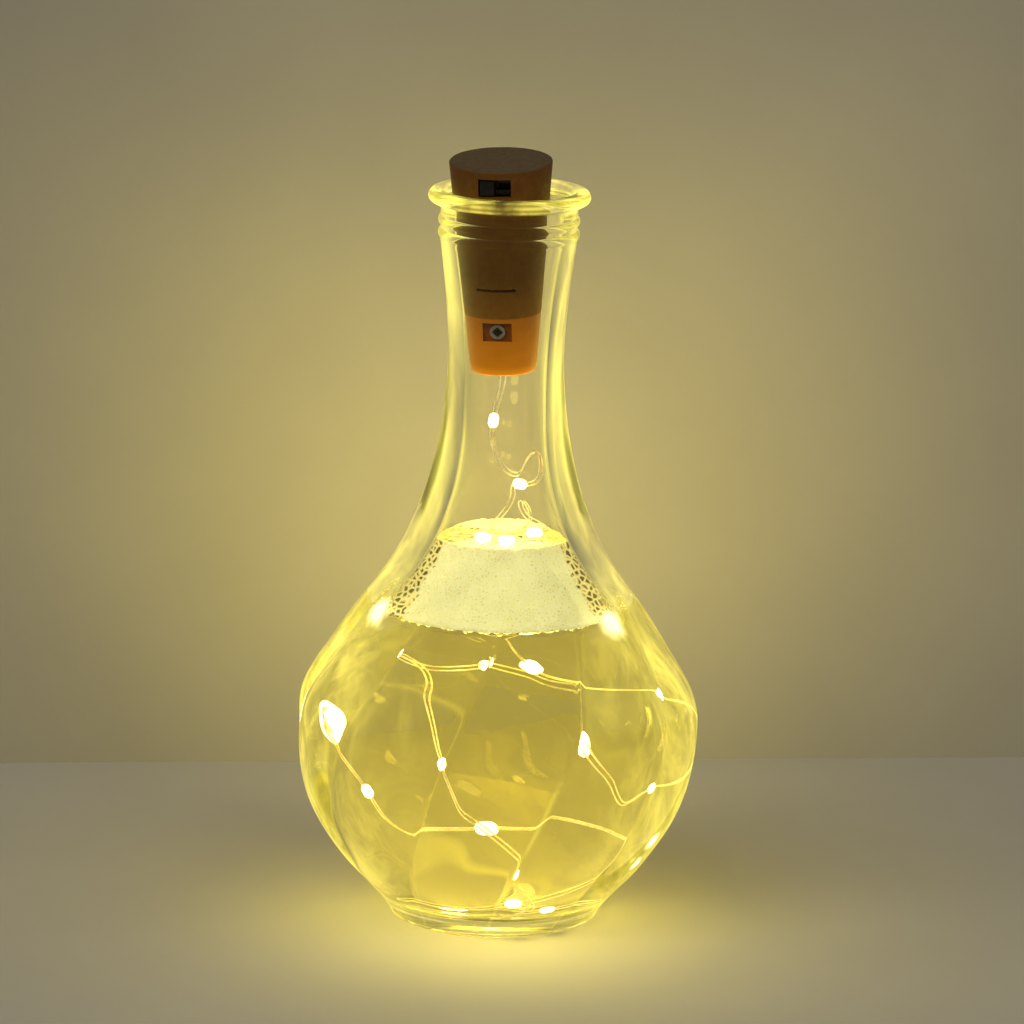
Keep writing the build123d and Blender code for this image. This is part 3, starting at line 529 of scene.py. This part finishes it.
class Shader:
    """A material with a Principled shader and short ways to feed it."""

    def __init__(self, name, base, rough, metal=0.0):
        self.material = bpy.data.materials.new(name)
        self.material.use_nodes = True
        self.tree = self.material.node_tree
        self.main = self.tree.nodes["Principled BSDF"]
        self.output = self.tree.nodes["Material Output"]
        self.set("Base Color", (*base, 1.0))
        self.set("Roughness", rough)
        self.set("Metallic", metal)
        self.place = self.node("ShaderNodeTexCoord").outputs["Object"]

    def node(self, kind, **values):
        made = self.tree.nodes.new(kind)
        for key, value in values.items():
            setattr(made, key, value)
        return made

    def link(self, source, target):
        self.tree.links.new(source, target)

    def set(self, socket, value):
        """A constant on the shader's own socket."""
        self.main.inputs[socket].default_value = value

    def feed(self, socket, source):
        """A pattern on the shader's own socket."""
        self.link(source, self.main.inputs[socket])

    def glow(self, colour, strength):
        """Light of its own, with a constant or a patterned strength."""
        self.set("Emission Color", (*colour, 1.0))
        if isinstance(strength, float):
            self.set("Emission Strength", strength)
        else:
            self.feed("Emission Strength", strength)

    def noise(self, scale, detail=4.0, rough=0.55, distortion=0.0, upward=1.0):
        """Fractal noise, scale in features per metre, and how much of it runs upward."""
        made = self.node("ShaderNodeTexNoise")
        made.inputs["Scale"].default_value = scale
        made.inputs["Detail"].default_value = detail
        made.inputs["Roughness"].default_value = rough
        made.inputs["Distortion"].default_value = distortion
        drawn = self.node("ShaderNodeVectorMath", operation="MULTIPLY")
        drawn.inputs[1].default_value = (1.0, 1.0, upward)
        self.link(self.place, drawn.inputs[0])
        self.link(drawn.outputs["Vector"], made.inputs["Vector"])
        return made.outputs["Fac"]

    def cells(self, scale, feature="F1", randomness=1.0):
        """Cell pattern, scale in cells per metre."""
        made = self.node("ShaderNodeTexVoronoi", feature=feature)
        made.inputs["Scale"].default_value = scale
        made.inputs["Randomness"].default_value = randomness
        self.link(self.place, made.inputs["Vector"])
        return made.outputs["Distance"]

    def ramp(self, source, *stops):
        """Colours along a value, each with its position."""
        made = self.node("ShaderNodeValToRGB")
        while len(made.color_ramp.elements) < len(stops):
            made.color_ramp.elements.new(0.5)
        for element, (position, colour) in zip(made.color_ramp.elements, stops):
            element.position = position
            element.color = (*colour, 1.0)
        self.link(source, made.inputs["Fac"])
        return made.outputs["Color"]

    def remap(self, source, low, high, to_low, to_high):
        """Draws a range of a value onto another, and holds it there."""
        made = self.node("ShaderNodeMapRange")
        made.inputs["From Min"].default_value = low
        made.inputs["From Max"].default_value = high
        made.inputs["To Min"].default_value = to_low
        made.inputs["To Max"].default_value = to_high
        self.link(source, made.inputs["Value"])
        return made.outputs["Result"]

    def spread(self, source, to_low, to_high):
        """Draws a noise's usual range onto another."""
        return self.remap(source, 0.3, 0.7, to_low, to_high)

    def along(self, origin, direction):
        """Distance in metres from a point along a direction."""
        away = self.node("ShaderNodeVectorMath", operation="SUBTRACT")
        away.inputs[1].default_value = origin
        self.link(self.place, away.inputs[0])
        reach = self.node("ShaderNodeVectorMath", operation="DOT_PRODUCT")
        reach.inputs[1].default_value = direction
        self.link(away.outputs["Vector"], reach.inputs[0])
        return reach.outputs["Value"]

    def off(self, place):
        """Distance in metres from a point."""
        made = self.node("ShaderNodeVectorMath", operation="DISTANCE")
        made.inputs[1].default_value = place
        self.link(self.place, made.inputs[0])
        return made.outputs["Value"]

    def math(self, operation, first, second=None):
        """A sum of a value, alone or with another value or a number."""
        made = self.node("ShaderNodeMath", operation=operation)
        self.link(first, made.inputs[0])
        if isinstance(second, float):
            made.inputs[1].default_value = second
        elif second is not None:
            self.link(second, made.inputs[1])
        return made.outputs["Value"]

    def plus(self, first, second):
        return self.math("ADD", first, second)

    def times(self, first, second):
        return self.math("MULTIPLY", first, second)

    def mix(self, share, low, high):
        """Colour between two colours by a share."""
        made = self.node("ShaderNodeMix", data_type="RGBA")
        self.link(share, made.inputs["Factor"])
        for name, colour in (("A", low), ("B", high)):
            socket = [i for i in made.inputs if i.name == name and i.type == "RGBA"][0]
            if isinstance(colour, tuple):
                socket.default_value = (*colour, 1.0)
            else:
                self.link(colour, socket)
        return [o for o in made.outputs if o.type == "RGBA"][0]

    def bump(self, source, strength, distance):
        made = self.node("ShaderNodeBump")
        made.inputs["Strength"].default_value = strength
        made.inputs["Distance"].default_value = distance
        self.link(source, made.inputs["Height"])
        self.feed("Normal", made.outputs["Normal"])

    def clear_where(self, share, tint):
        """Leaves the surface clear, with a tint, where a share is 1."""
        clear = self.node("ShaderNodeBsdfTransparent")
        clear.inputs["Color"].default_value = (*tint, 1.0)
        mix = self.node("ShaderNodeMixShader")
        self.link(share, mix.inputs["Fac"])
        self.link(self.main.outputs["BSDF"], mix.inputs[1])
        self.link(clear.outputs["BSDF"], mix.inputs[2])
        self.link(mix.outputs["Shader"], self.output.inputs["Surface"])

    def clear_from_behind(self):
        """Leaves a thin sheet unseen from its back."""
        side = self.node("ShaderNodeNewGeometry")
        self.clear_where(side.outputs["Backfacing"], (1.0, 1.0, 1.0))

    def clear_to_light(self, tint):
        """Lets light reach what is behind the glass."""
        path = self.node("ShaderNodeLightPath")
        self.clear_where(path.outputs["Is Shadow Ray"], tint)


def dress(piece, shader):
    """Gives a piece this material."""
    if piece.material_slots:
        for slot in piece.material_slots:
            slot.material = shader.material
    else:
        piece.data.materials.append(shader.material)


middle = (0.0, 0.0, 0.0)
right = (1.0, 0.0, 0.0)
front = (0.0, -1.0, 0.0)
back = (0.0, 1.0, 0.0)
up = (0.0, 0.0, 1.0)

# Glass of the bottle
glass = Shader("bottle_glass", (0.99, 0.985, 0.95), 0.0)
glass.set("Transmission Weight", 1.0)
glass.set("IOR", 1.5)
glass.set("Specular Tint", (0.5, 0.43, 0.2, 1.0))
glass.feed("Base Color", glass.ramp(glass.noise(60.0, 2.0), (0.3, (0.995, 0.985, 0.93)),
                                    (0.7, (0.985, 0.975, 0.91))))
glass.bump(glass.noise(45.0, 1.0), 0.06, 0.0006)
glass_height = glass.along(middle, up)
side_way = glass.along(middle, right)
front_way = glass.along(middle, front)
axis_square = glass.plus(glass.times(side_way, side_way), glass.times(front_way, front_way))
axis_distance = glass.math("POWER", axis_square, 0.5)

# Painted glow, as emission in the glass, stands in for the lights' glow it carries: in the lip,
# outside, in rings and patches
lip_lines_per_metre = 5200.0
lip_rise = glass.remap(glass_height, 162.2 * MM, 163.6 * MM, 0.0, 1.0)
lip_outside = glass.remap(axis_distance, 16.6 * MM, 17.4 * MM, 0.08, 1.0)
lip_wave = glass.math("SINE", glass.times(glass_height, lip_lines_per_metre))
lip_lines = glass.remap(lip_wave, -1.0, 1.0, 0.4, 1.0)
lip_patches = glass.remap(glass.noise(150.0, 4.0), 0.38, 0.62, 0.12, 0.8)
lip_glow = glass.times(glass.times(lip_rise, lip_outside), glass.times(lip_lines, lip_patches))

# On the belly, in streaks that are strongest at its left and right
side_falloff = 0.7
wall_base_glow = 0.03
front_share = glass.math("DIVIDE", glass.math("ABSOLUTE", front_way), axis_distance)
side_share = glass.remap(glass.math("POWER", front_share, side_falloff), 0.0, 1.0, 1.0, 0.0)
wall_noise = glass.noise(70.0, 3.0, 0.6, 1.8, upward=0.45)
wall_streaks = glass.remap(wall_noise, 0.46, 0.66, 0.0, 0.6)
wall_glow = glass.plus(glass.times(side_share, wall_streaks), wall_base_glow)

# Along the creases between the lobes, in stretches
crease_width = 0.1
side_angle = glass.math("ARCTAN2", side_way, front_way)
twist = glass.times(glass_height, radians(lobe_twist_per_height) / MM)
turned = glass.math("SUBTRACT", side_angle, radians(lobe_phase))
turned = glass.math("SUBTRACT", turned, twist)
lobe_wave = glass.math("ABSOLUTE", glass.math("SINE", glass.times(turned, lobe_count / 2)))
crease_line = glass.remap(lobe_wave, 0.0, crease_width, 1.0, 0.0)
crease_stretches = glass.remap(glass.noise(45.0, 2.0, 0.5, 0.6), 0.45, 0.7, 0.0, 0.13)
crease_glow = glass.times(crease_line, crease_stretches)
belly_fall = glass.remap(glass_height, 64.0 * MM, 74.0 * MM, 1.0, 0.0)
belly_glow = glass.times(belly_fall, glass.plus(wall_glow, crease_glow))

# Painted glow here too, as bright streaks along the bottle's sides
# In the sides of the whole bottle
edge_strength = 0.4
edge_share = glass.math("POWER", side_share, 2.0)
edge_noise = glass.noise(75.0, 3.0, 0.6, 0.4, upward=0.3)
edge_streaks = glass.remap(edge_noise, 0.42, 0.66, 0.35, 2.2)
edge_glow = glass.times(glass.times(edge_share, edge_strength), edge_streaks)

# And in glaring patches of painted glare, two on the shoulder and two low on the right: place and
# reach
glare_patches = (((-27.2, -15.1, 72.5), 4.6), ((24.7, -18.9, 72.5), 4.6),
                 ((34.9, -20.5, 22.5), 2.8), ((32.0, -19.6, 17.5), 2.4))
glare_core = 0.3
glare_ragged = glass.spread(glass.noise(160.0, 2.0), -1.2 * MM, 1.2 * MM)
glare = None
for glare_place, glare_size in glare_patches:
    glare_off = glass.plus(glass.off(tuple(Vector(glare_place) * MM)), glare_ragged)
    patch = glass.remap(glare_off, glare_core * glare_size * MM, glare_size * MM, 1.0, 0.0)
    glare = patch if glare is None else glass.plus(glare, patch)
# All this painted glow and glare becomes the glass's emission
glass_glow = glass.plus(glass.plus(lip_glow, belly_glow), glass.plus(glare, edge_glow))
glass.feed("Emission Color", glass.mix(glare, (1.0, 0.86, 0.12), (1.0, 0.97, 0.7)))
glass.feed("Emission Strength", glass_glow)
glass.clear_to_light((0.97, 0.96, 0.9))
dress(bottle, glass)

# Liquid
water = Shader("bottle_liquid", (1.0, 1.0, 1.0), 0.0)
water.set("Transmission Weight", 1.0)
water.set("IOR", 1.33)
water.feed("Base Color", water.ramp(water.noise(30.0, 2.0), (0.3, (1.0, 0.985, 0.9)),
                                    (0.7, (1.0, 0.97, 0.86))))
absorb = water.node("ShaderNodeVolumeAbsorption")
absorb.inputs["Color"].default_value = (0.95, 0.92, 0.48, 1.0)
absorb.inputs["Density"].default_value = 20.0
water.link(absorb.outputs["Volume"], water.output.inputs["Volume"])
water.clear_to_light((1.0, 0.97, 0.85))
dress(liquid, water)

# Foam: fine in front and behind, with a strip of coarse bubbles at each side and a pale edge
froth = Shader("bottle_foam", (0.85, 0.76, 0.3), 0.6)
fine_cells = froth.cells(1500.0, "DISTANCE_TO_EDGE")
fine_colour = froth.ramp(fine_cells, (0.0, (0.94, 0.91, 0.48)), (0.15, (0.83, 0.79, 0.33)),
                         (0.5, (0.68, 0.63, 0.22)))
coarse_cells = froth.cells(640.0, "DISTANCE_TO_EDGE", 0.8)
coarse_colour = froth.ramp(coarse_cells, (0.0, (0.9, 0.8, 0.3)), (0.14, (0.7, 0.58, 0.18)),
                           (0.24, (0.05, 0.035, 0.01)), (0.5, (0.1, 0.075, 0.03)))
outer_cells = froth.cells(1100.0, "DISTANCE_TO_EDGE", 0.85)
outer_colour = froth.ramp(outer_cells, (0.0, (0.3, 0.22, 0.05)), (0.12, (0.5, 0.4, 0.1)),
                          (0.3, (0.86, 0.76, 0.28)))
froth_side = froth.along(middle, right)
froth_depth = froth.along(middle, back)
side_square = froth.times(froth_side, froth_side)
depth_square = froth.times(froth_depth, froth_depth)
froth_share = froth.math("DIVIDE", side_square, froth.plus(side_square, depth_square))
froth_ragged = froth.plus(froth_share, froth.spread(froth.noise(500.0), -0.05, 0.05))
coarse_share = froth.remap(froth_ragged, 0.59, 0.62, 0.0, 1.0)
outer_share = froth.remap(froth_ragged, 0.78, 0.84, 0.0, 1.0)
side_colour = froth.mix(outer_share, coarse_colour, outer_colour)
froth_colour = froth.mix(coarse_share, fine_colour, side_colour)
froth.feed("Base Color", froth_colour)
# Painted glow, standing in for the string's light shining through it
froth.feed("Emission Color", froth_colour)
froth.feed("Emission Strength", froth.spread(froth.noise(120.0, 3.0), 0.25, 0.45))
froth.bump(fine_cells, 0.5, 0.0003)
dress(foam, froth)


def grained(name, base, rough, metal, grain, dark, pale, pieces=(), ends=(0.3, 0.7)):
    """A material with a grain between two colours, on the CAD pieces that wear it."""
    made = Shader(name, base, rough, metal)
    made.feed("Base Color", made.ramp(made.noise(*grain), (ends[0], dark), (ends[1], pale)))
    for piece in pieces:
        dress(nodes[piece], made)
    return made


# Light string: a painted glow on its wires stands in for the lights shining on them
wire = grained("string_wire", (0.9, 0.78, 0.42), 0.3, 1.0, (900.0, 3.0),
               (0.8, 0.66, 0.3), (1.0, 0.9, 0.55))
wire.feed("Roughness", wire.spread(wire.noise(2500.0, 2.0), 0.22, 0.42))
# Painted glow on the wires
wire.glow((1.0, 0.88, 0.4), wire.spread(wire.noise(300.0, 2.0), 0.15, 0.6))
for strand in strands.values():
    dress(strand, wire)

chip = Shader("led_chip", (1.0, 0.9, 0.6), 0.4)
chip.feed("Base Color", chip.ramp(chip.cells(4000.0), (0.0, (1.0, 0.95, 0.75)),
                                  (1.0, (1.0, 0.8, 0.4))))
chip.glow((1.0, 0.88, 0.45), 40.0)
bead = Shader("led_bead", (1.0, 0.95, 0.8), 0.15)
bead.glow((1.0, 0.88, 0.4), bead.spread(bead.noise(1400.0, 2.0), 5.0, 7.0))
for end in ("upper", "lower"):
    dress(nodes[f"led_chips_{end}"], chip)
    dress(nodes[f"led_beads_{end}"], bead)

# Cork shell: painted glow of the lights below as red on the tongue and amber low down, brown
# above, and a painted reflection on top
cork_start = tuple(cork_origin * MM)
shell = Shader("cork_shell", (0.06, 0.032, 0.008), 0.5)
shell_grain = shell.noise(420.0, 6.0, 0.65, 0.6)
shell_brown = shell.ramp(shell_grain, (0.25, (0.07, 0.024, 0.001)), (0.6, (0.1, 0.036, 0.002)),
                         (0.8, (0.13, 0.05, 0.003)))
# Painted glow of the lights shining through the plastic: amber low down, red on the tongue
shell_glow_amber = shell.ramp(shell_grain, (0.25, (0.15, 0.06, 0.003)), (0.7, (0.21, 0.09, 0.005)))
shell_glow_red = shell.ramp(shell_grain, (0.25, (0.17, 0.035, 0.002)), (0.7, (0.24, 0.055, 0.003)))
# Painted reflection: a greyer colour on the top face, where the lamps' reflection falls
shell_painted_reflection = shell.ramp(shell_grain, (0.25, (0.045, 0.028, 0.011)), (0.7, (0.068, 0.044, 0.019)))
shell_height = shell.along(cork_start, cork_axis)
shell_glow_low = shell.remap(shell_height, 13.6 * MM, 23.0 * MM, 1.0, 0.0)
shell_tongue = shell.remap(shell_height, 13.4 * MM, 13.7 * MM, 1.0, 0.0)
shell_reflection_share = shell.remap(shell_height, 47.0 * MM, 47.4 * MM, 0.0, 1.0)
shell_wall = shell.mix(shell_glow_low, shell_brown, shell_glow_amber)
shell_sides = shell.mix(shell_tongue, shell_wall, shell_glow_red)
shell.feed("Base Color", shell.mix(shell_reflection_share, shell_sides, shell_painted_reflection))
shell.set("Specular IOR Level", 0.3)
shell.feed("Roughness", shell.spread(shell.noise(900.0, 3.0), 0.5, 0.68))
shell.bump(shell_grain, 0.2, 0.0003)
dress(nodes["cork_shell"], shell)

# The plug is translucent; a painted glow, strongest at its lower rim, stands in for the lights
# below shining through it
plug = grained("plug_plastic", (0.36, 0.1, 0.006), 0.35, 0.0, (260.0, 4.0),
               (0.26, 0.075, 0.001), (0.34, 0.105, 0.002), ("carrier_plug",))
plug_height = plug.along(cork_start, cork_axis)
plug_rim = plug.remap(plug_height, 0.2 * MM, 2.2 * MM, 0.28, 0.0)
plug_body = plug.remap(plug_height, 0.0, 13.6 * MM, 0.26, 0.07)
plug.glow((1.0, 0.33, 0.0), plug.plus(plug_rim, plug_body))
plug.set("Specular IOR Level", 0.3)
plug.bump(plug.noise(1200.0, 3.0), 0.1, 0.0001)

black = grained("switch_plastic", (0.012, 0.011, 0.01), 0.55, 0.0, (1500.0, 3.0),
                (0.004, 0.0035, 0.003), (0.01, 0.009, 0.008), ("switch_slider", "switch_base"))
black.set("Specular IOR Level", 0.2)
black.bump(black.noise(3000.0, 2.0), 0.15, 0.00005)

# Clamp screw: a bright ring around a dark middle
screw = Shader("screw_steel", (0.2, 0.2, 0.18), 0.4, 0.8)
screw_bright = screw.ramp(screw.noise(2600.0, 3.0), (0.3, (0.28, 0.28, 0.24)),
                          (0.7, (0.42, 0.42, 0.36)))
screw_middle = screw.remap(screw.off(tuple(screw_place * MM)), 0.9 * MM, 1.2 * MM, 1.0, 0.0)
screw.feed("Base Color", screw.mix(screw_middle, screw_bright, (0.012, 0.014, 0.01)))
screw.feed("Roughness", screw.spread(screw.noise(4000.0, 3.0), 0.3, 0.5))
dress(nodes["clamp_screw"], screw)

# Working parts inside the cork
metal = grained("contact_metal", (0.6, 0.57, 0.5), 0.3, 1.0, (1800.0, 4.0),
                (0.5, 0.47, 0.4), (0.7, 0.67, 0.6),
                ("negative_contact", "return_strip", "switch_terminals", "positive_contact",
                 "return_blade"))
metal.feed("Roughness", metal.spread(metal.noise(2600.0, 3.0), 0.2, 0.4))
steel = grained("cell_steel", (0.7, 0.7, 0.68), 0.25, 1.0, (1200.0, 5.0),
                (0.6, 0.6, 0.58), (0.78, 0.78, 0.76),
                ("button_cell_1", "button_cell_2", "button_cell_3", "cell_caps"))
steel.feed("Roughness", steel.spread(steel.noise(2200.0, 4.0), 0.18, 0.38))
tray = grained("tray_plastic", (0.7, 0.67, 0.58), 0.45, 0.0, (700.0, 4.0),
               (0.64, 0.61, 0.52), (0.74, 0.71, 0.63), ("cell_tray",))
tray.bump(tray.noise(2000.0, 3.0), 0.1, 0.0001)
board = grained("board_plastic", (0.04, 0.16, 0.06), 0.4, 0.0, (500.0, 5.0),
                (0.03, 0.13, 0.045), (0.06, 0.2, 0.08), ("switch_board",), ends=(0.35, 0.65))
board.bump(board.cells(1500.0), 0.15, 0.0001)
grained("switch_frame", (0.1, 0.095, 0.09), 0.45, 0.6, (1600.0, 4.0),
        (0.012, 0.011, 0.01), (0.03, 0.027, 0.022), ("switch_frame", "slider_contact"))
grained("gasket_rubber", (0.04, 0.04, 0.04), 0.7, 0.0, (1400.0, 4.0),
        (0.03, 0.03, 0.03), (0.06, 0.058, 0.055), ("cell_gaskets", "wire_seal"))
grained("solder", (0.72, 0.72, 0.73), 0.22, 1.0, (2500.0, 3.0),
        (0.62, 0.62, 0.64), (0.8, 0.8, 0.81), ("solder_joints",))
grained("resistor_body", (0.12, 0.25, 0.34), 0.35, 0.0, (1500.0, 3.0),
        (0.1, 0.22, 0.3), (0.15, 0.3, 0.4), ("series_resistor",))
grained("lead_copper", (0.9, 0.78, 0.42), 0.3, 1.0, (900.0, 3.0),
        (0.8, 0.66, 0.3), (1.0, 0.9, 0.55), ("contact_leads",))

# What moves with what
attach(bottle, "bottle")
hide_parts("glass_belly", "glass_neck")
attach(liquid, "bottle")
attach(foam, "bottle")
for letter, strand in strands.items():
    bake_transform(strand)
    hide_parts(f"strand_{letter}_upper", f"strand_{letter}_middle",
                f"strand_{letter}_lower")

# Floor, and a backdrop that stands close behind, a little turned, as in the photograph
floor_colours = ((0.235, 0.217, 0.18), (0.27, 0.25, 0.207))
wall_colours = ((0.195, 0.178, 0.142), (0.235, 0.213, 0.17))
sheet_half = 3.0
wall_rise = Vector((0.0, 0.0, 2.5))
wall_middle = Vector((3.8, 124.4, 0.0)) * MM
wall_direction = Vector((254.1, 27.3, 0.0)).normalized()
wall_left = wall_middle - wall_direction * sheet_half
wall_right = wall_middle + wall_direction * sheet_half
floor_corners = [(x * sheet_half, y * sheet_half, 0.0)
                 for x, y in ((-1, -1), (1, -1), (1, 1), (-1, 1))]
wall_corners = [wall_left, wall_right, wall_right + wall_rise, wall_left + wall_rise]
for name, corners, (dark, pale) in (("floor", floor_corners, floor_colours),
                                    ("backdrop", wall_corners, wall_colours)):
    sheet = mesh_object(name, corners, [(0, 1, 2, 3)])
    paint = grained(f"{name}_paint", dark, 0.7, 0.0, (5.0, 5.0), dark, pale, ends=(0.35, 0.65))
    paint.bump(paint.noise(900.0, 3.0), 0.1, 0.0002)
    paint.clear_from_behind()
    dress(sheet, paint)

# Lamps: two soft ones, and small warm ones that add to the string's light
lamp_target = Vector((0.0, 0.0, 80.0)) * MM
lamp_size = 2.0
string_colour = (1.0, 0.91, 0.31)
string_lamp_radius = 6.0 * MM
beam_angle = 150
beam_blend = 0.9


def lamp(name, kind, place, toward, power, colour):
    """A lamp that no reflection and no ray through the glass shows."""
    data = bpy.data.lights.new(name, kind)
    data.energy = power
    data.color = colour
    made = new_object(name, data)
    made.location = place
    if toward is not None:
        made.rotation_euler = toward.to_track_quat("-Z", "Y").to_euler()
    made.visible_glossy = False
    made.visible_transmission = False
    return made


for name, place, power, colour in (
    ("key_light", Vector((-1.1, -1.3, 1.7)), 42.0, (1.0, 0.98, 0.92)),
    ("fill_light", Vector((1.3, -1.1, 1.2)), 20.0, (1.0, 0.98, 0.94)),
):
    soft = lamp(name, "AREA", place, lamp_target - place, power, colour)
    soft.data.shape = "SQUARE"
    soft.data.size = lamp_size

for name, kind, place, toward, power in (
    ("string_light_middle", "POINT", (0.0, -22.0, 40.0), None, 0.24),
    ("string_light_back", "SPOT", (0.0, 20.0, 58.0), Vector((0.0, 1.0, 0.35)), 0.7),
    ("string_light_neck", "POINT", (2.0, 2.0, 104.0), None, 0.14),
):
    small = lamp(name, kind, Vector(place) * MM, toward, power, string_colour)
    small.data.shadow_soft_size = string_lamp_radius
    small.visible_camera = False
    if kind == "SPOT":
        small.data.spot_size = radians(beam_angle)
        small.data.spot_blend = beam_blend

world = bpy.data.worlds.new("studio")
world.use_nodes = True
sky = world.node_tree.nodes["Background"]
sky.inputs["Color"].default_value = (0.9, 0.9, 0.88, 1.0)
sky.inputs["Strength"].default_value = 0.15
bpy.context.scene.world = world
bpy.context.scene.view_settings.view_transform = "Standard"
